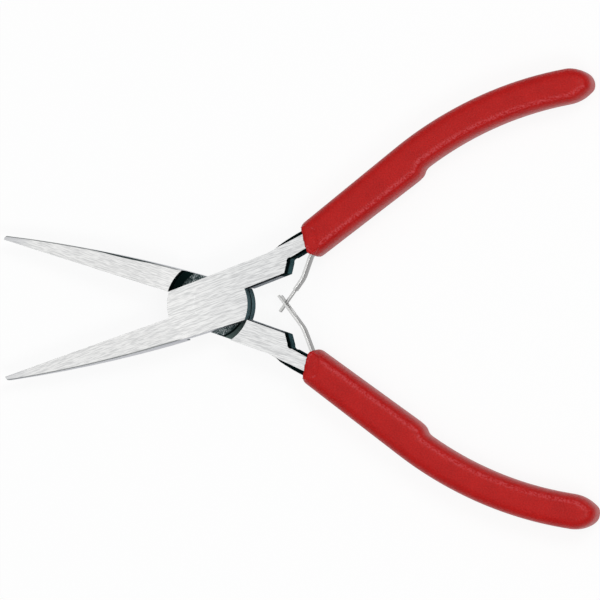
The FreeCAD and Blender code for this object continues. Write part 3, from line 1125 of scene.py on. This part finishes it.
@dataclass
class Sleeve:
    """A dipped vinyl sleeve, drawn soft over the tang.

    A pair is for the sides, then for the closed end.

    Attributes:
        layer: The half that it belongs to.
        voxel: The size of the skin's mesh, in metres.
        plain_round: The radius of the plain tube's edges.
        reach: How far in the round runs.
        swell: How far the round stands out past the plain tube.
        squareness: The power of the section's curve: 2 is an ellipse, more is squarer.
        settle: How many passes of smoothing end the work.
        wall_lean: How far up a side wall may face, from 0 to 1.
        wall_band: How far above and below the lap the walls are read.
        mouth_facing: How far forward a wall may face before it is taken for the mouth.
        hollow: How far outside a wall another wall shows that it is the tube's inside.
        nearest: How many places on the walls are averaged round a point.
        end_from: How far rearward the skin faces where the closed end starts.
        end_span: How much further rearward it faces where the end is reached.
        inner: How far against the tube the skin faces where it is the inside.
    """

    layer: Layer
    voxel: float = 0.36 * MM
    plain_round: float = 1.7 * MM
    reach: tuple[float, float] = (3.6 * MM, 4.2 * MM)
    swell: tuple[float, float] = (0.15 * MM, 0.35 * MM)
    squareness: tuple[float, float] = (3.0, 4.0)
    settle: int = 5
    wall_lean: float = 0.25
    wall_band: float = 2.0 * MM
    mouth_facing: float = -0.6
    hollow: float = 12 * MM
    nearest: int = 8
    end_from: float = 0.1
    end_span: float = 0.6
    inner: float = -0.3

    @property
    def node(self) -> str:
        """The plain sleeve's node."""
        return f"sleeve_{self.layer.value}"

    def half_height(self) -> float:
        """Half the thickness of the sleeve, in metres."""
        low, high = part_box(self.node)
        return (high.z - low.z) / 2

    def rearward(self) -> Vector:
        """The direction in the plan from the mouth along the handle."""
        turn = TOOL.half_open + TOOL.handle_slope
        return Vector((math.cos(turn), math.sin(turn) * self.layer.side, 0.0))

    def side_walls(self, item: Piece) -> tuple[KDTree, list[tuple[Vector, Vector]]]:
        """Finds the outer side walls of the plain tube, without its open mouth.

        Args:
            item: The sleeve.

        Returns:
            A search tree of the walls' places in the plan, and each place with its outward
            direction.
        """
        rearward = self.rearward()
        solid = BVHTree.FromPolygons(
            [vertex.co for vertex in item.data.vertices],
            [face.vertices for face in item.data.polygons],
        )
        walls: list[tuple[Vector, Vector]] = []
        for vertex in item.data.vertices:
            off_lap = abs(vertex.co.z - TOOL.middle) > self.wall_band
            if off_lap or abs(vertex.normal.z) > self.wall_lean:
                continue
            out = Vector((vertex.normal.x, vertex.normal.y, 0.0)).normalized()
            start = vertex.co + out * self.voxel
            outside = solid.ray_cast(start, out, self.hollow)[0] is None
            if out.dot(rearward) > self.mouth_facing and outside:
                walls.append((Vector((vertex.co.x, vertex.co.y, 0.0)), out))
        tree = KDTree(len(walls))
        for index, (place, _) in enumerate(walls):
            tree.insert(place, index)
        tree.balance()
        return tree, walls

    def plain_radius(self, across: float, level: float, reach: float, high: float) -> float:
        """How far the plain tube's edge lies from the middle of the round, in one direction.

        Args:
            across: The direction's share towards the side.
            level: Its share upwards.
            reach: The distance to the side wall.
            high: The distance to the face.

        Returns:
            The distance.
        """
        side, top = reach - self.plain_round, high - self.plain_round
        if level * reach <= across * top:
            return reach / across
        if across * high <= level * side:
            return high / level
        along = across * side + level * top
        return along + math.sqrt(along**2 - side**2 - top**2 + self.plain_round**2)

    def draw_round(self, item: Piece) -> None:
        """Draws the plain tube's outer skin into a full round."""
        tree, walls = self.side_walls(item)
        rearward = self.rearward()
        high = self.half_height()
        drawn: list[float] = []
        for vertex in item.data.vertices:
            spot, facing = vertex.co.copy(), vertex.normal.copy()
            place = Vector((spot.x, spot.y, 0.0))
            near = [walls[index] for _, index, _ in tree.find_n(place, self.nearest)]
            base = sum((wall[0] for wall in near), Vector()) / len(near)
            out = sum((wall[1] for wall in near), Vector()).normalized()
            share = eased(out.dot(rearward), self.end_from, self.end_span)
            reach, swell, power = (
                between(*pair, share) for pair in (self.reach, self.swell, self.squareness)
            )
            across = reach - (base - place).dot(out)
            level = spot.z - TOOL.middle
            turned_in = facing.z * level < self.inner * abs(level)
            if across > 0.0 and not turned_in and out.dot(facing) >= self.inner:
                length = math.hypot(across, level)
                side, up = across / length, abs(level) / length
                full = (side / (reach + swell)) ** power + (up / high) ** power
                grow = full ** (-1.0 / power) / self.plain_radius(side, up, reach, high) - 1.0
                spot += out * across * grow + Vector((0.0, 0.0, level * grow))
            drawn.extend(spot)
        item.data.vertices.foreach_set("co", drawn)
        item.data.update()

    def make(self, vinyl: Material) -> list[Piece]:
        """Makes the soft sleeve in place of the plain one.

        Args:
            vinyl: The sleeves' finish.

        Returns:
            The new piece.
        """
        item = copy_node(self.node, f"vinyl_sleeve_{self.layer.value}")
        remesh = item.modifiers.new("skin", "REMESH")
        remesh.mode = "VOXEL"
        remesh.voxel_size = self.voxel
        apply_modifiers(item)
        self.draw_round(item)
        soft = item.modifiers.new("soft", "SMOOTH")
        soft.iterations = self.settle
        apply_modifiers(item)
        bpy.ops.object.shade_smooth()
        dress(item, vinyl)
        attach(item, self.layer.body)
        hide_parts(self.node)
        return [item]


@dataclass
class Leaf:
    """A flat leaf spring, with cross-cuts across its blade near the root.

    Attributes:
        layer: The half that it belongs to.
        root_bend: The angle between the foot and the blade.
        bend_from: Where the cross-cuts start, measured along the blade from its root, in metres.
        bend_to: Where they end.
        cuts: How many cross-cuts are made across the blade.
        edge_break: The width of its broken edges.
        flat_within: The angle within which facets are joined into one face.
        sharp: The angle past which an edge is broken.
        smooth_within: The angle within which neighbouring faces are shaded as one.
    """

    layer: Layer
    root_bend: float = math.radians(33.6)
    bend_from: float = 0.2 * MM
    bend_to: float = 7.5 * MM
    cuts: int = 15
    edge_break: float = 0.05 * MM
    flat_within: float = math.radians(0.5)
    sharp: float = math.radians(40.0)
    smooth_within: float = math.radians(35.0)

    def root(self) -> Vector:
        """Where the blade leaves its foot: the leaf's joint in the record."""
        joints = frame["record"]["behaviour"]["joints"]
        name = f"leaf_{self.layer.value}_flex"
        return Vector(next(joint["pos_m"] for joint in joints if joint["name"] == name))

    def along(self) -> Vector:
        """The direction in which the blade leaves its root."""
        turn = TOOL.half_open + TOOL.foot_slope + self.root_bend + math.pi
        return Vector((math.cos(turn), math.sin(turn) * self.layer.side, 0.0))

    def make(self, steel: Material) -> list[Piece]:
        """Makes the cut spring and dresses its rivet.

        Args:
            steel: The strip's finish.

        Returns:
            The new spring and the dressed rivet.
        """
        node = f"leaf_spring_{self.layer.value}"
        item = copy_node(node, f"spring_leaf_{self.layer.value}")
        root, along = self.root(), self.along()
        bpy.ops.object.mode_set(mode="EDIT")
        bpy.ops.mesh.select_all(action="SELECT")
        bpy.ops.mesh.dissolve_limited(angle_limit=self.flat_within)
        for index in range(self.cuts):
            step = self.bend_from + (self.bend_to - self.bend_from) * index / (self.cuts - 1)
            bpy.ops.mesh.select_all(action="SELECT")
            bpy.ops.mesh.bisect(plane_co=root + along * step, plane_no=along)
        bpy.ops.object.mode_set(mode="OBJECT")
        break_edges(item, self.edge_break, facets=2, sharp=self.sharp)
        apply_modifiers(item)
        bpy.ops.object.shade_smooth_by_angle(angle=self.smooth_within)
        dress(item, steel)
        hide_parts(node)
        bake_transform(item)
        rivet = frame["nodes"][f"leaf_rivet_{self.layer.value}"]
        dress(rivet, steel)
        return [item, rivet]


# ---- studio ----


@dataclass
class Studio:
    """The floor, the lights and the camera.

    Attributes:
        width: The width of the view at the upper ground face, in metres.
        target: The point of the tool at the middle of the view.
        tilt_across: The camera's lean towards +X, in radians.
        tilt_along: The camera's lean towards -Y, in radians.
        roll: The camera's roll, in radians.
        distance: The camera's distance from the target, in metres.
        sight: How far the camera sees.
        lamps: Each lamp's name, its place, the length of its side and its power in watts.
        world: The colour of the light from all round.
        floor_size: The length of the floor's side.
        floor_x: Where the floor's middle is along X.
        floor_gap: How far under the sleeves it lies.
        floor_tone: Its colour, from 0 to 1.
        floor_rough: Its roughness.
        floor_white: How much of it shows as plain white, to the camera and in reflections.
    """

    width: float = 135.23 * MM
    target: Place = (21.09 * MM, 0.64 * MM, 8.5 * MM)
    tilt_across: float = math.radians(12.3)
    tilt_along: float = math.radians(1.6)
    roll: float = math.radians(0.6)
    distance: float = 2.0
    sight: float = 10.0
    lamps: tuple[tuple[str, Place, float, float], ...] = (
        ("overhead", (-0.38, 0.05, 1.2), 1.6, 6.4),
        ("right_near", (0.62, -0.55, 1.3), 0.5, 6.2),
        ("right_far", (0.62, 0.55, 1.3), 0.5, 6.2),
    )
    world: Colour = (0.28, 0.283, 0.287)
    floor_size: float = 6.0
    floor_x: float = 0.02
    floor_gap: float = 0.02 * MM
    floor_tone: float = 0.92
    floor_rough: float = 0.9
    floor_white: float = 0.88

    def camera(self) -> None:
        """Makes the camera, far off with a long lens."""
        sa, ca = math.sin(self.tilt_across), math.cos(self.tilt_across)
        sb, cb = math.sin(self.tilt_along), math.cos(self.tilt_along)
        across = Vector((ca, 0.0, -sa))
        along = Vector((sa * sb, cb, ca * sb))
        back = Vector((sa * cb, -sb, ca * cb))
        right = across * math.cos(self.roll) - along * math.sin(self.roll)
        up = across * math.sin(self.roll) + along * math.cos(self.roll)
        data = bpy.data.cameras.new("camera")
        data.lens = data.sensor_width * self.distance / self.width
        data.clip_end = self.sight
        item = add_object("camera", data)
        place = Vector(self.target) + back * self.distance
        aim = Matrix((right, up, back)).transposed().to_4x4()
        item.matrix_world = Matrix.Translation(place) @ aim
        bpy.context.scene.camera = item

    def lights(self) -> None:
        """Hangs the soft square lamps, aimed at the middle of the tool, and sets the world."""
        for name, place, size, power in self.lamps:
            data = bpy.data.lights.new(name, "AREA")
            data.shape = "SQUARE"
            data.size = size
            data.energy = power
            item = add_object(name, data)
            item.location = place
            aim = Vector((self.target[0], 0.0, 0.0)) - Vector(place)
            item.rotation_mode = "QUATERNION"
            item.rotation_quaternion = aim.to_track_quat("-Z", "Y")
        world = bpy.data.worlds.new("studio")
        world.use_nodes = True
        backdrop = world.node_tree.nodes["Background"]
        backdrop.inputs["Color"].default_value = (*self.world, 1.0)
        bpy.context.scene.world = world

    def floor(self) -> None:
        """Lays the pale floor just under the sleeves. From below it is clear."""
        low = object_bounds()[0].z
        deselect_all()
        bpy.ops.mesh.primitive_plane_add(
            size=self.floor_size, location=(self.floor_x, 0.0, low - self.floor_gap)
        )
        item = bpy.context.object
        item.name = "floor"
        material, graph, shader = new_material("floor")
        graph.fill(shader, {
            "Base Color": (self.floor_tone,) * 3,
            "Roughness": self.floor_rough,
            "Specular IOR Level": 0.0,
        })
        path = graph.add("LightPath")
        seen = graph.math(
            "ADD",
            graph.total(path.outputs["Is Camera Ray"], path.outputs["Is Glossy Ray"]),
            path.outputs["Is Transmission Ray"],
            clamp=True,
        )
        upper_side = graph.fill(graph.add("MixShader"), {
            0: graph.product(seen, self.floor_white),
            1: shader.outputs["BSDF"],
            2: graph.add("Emission").outputs["Emission"],
        })
        both_sides = graph.fill(graph.add("MixShader"), {
            0: graph.add("NewGeometry").outputs["Backfacing"],
            1: upper_side.outputs["Shader"],
            2: graph.add("BsdfTransparent").outputs["BSDF"],
        })
        output = material.node_tree.nodes["Material Output"]
        graph.fill(output, {"Surface": both_sides.outputs["Shader"]})
        dress(item, material)
        item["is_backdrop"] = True

    def make(self) -> None:
        """Makes the whole studio."""
        self.floor()
        self.lights()
        self.camera()
        bpy.context.scene.view_settings.view_transform = "Standard"


# ---- the tool ----


def clear_start_up() -> None:
    """Removes what a new file starts with, apart from the frame."""
    kept = set(frame["nodes"].values()) | set(frame["bodies"].values())
    for item in list(bpy.data.objects):
        if item not in kept:
            bpy.data.objects.remove(item)


def main() -> None:
    """Builds the pliers round the frame, in order, and the studio."""
    logging.basicConfig(level=logging.INFO, format="%(name)s: %(message)s")
    clear_start_up()
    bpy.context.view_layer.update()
    effects = Effects()
    vinyl = SleeveVinyl().build(effects)
    made: list[Piece] = []
    for layer in Layer:
        made += Lever(layer).make(effects)
        made += Sleeve(layer).make(vinyl)
        made += Leaf(layer).make(SpringSteel().build(layer, effects))
    made += PivotRivet().make(frame["nodes"]["lever_upper"].material_slots[0].material)
    for item in made:
        LOG.info("%s: %d faces", item.name, len(item.data.polygons))
    Studio().make()


if __name__ == "__main__":
    main()
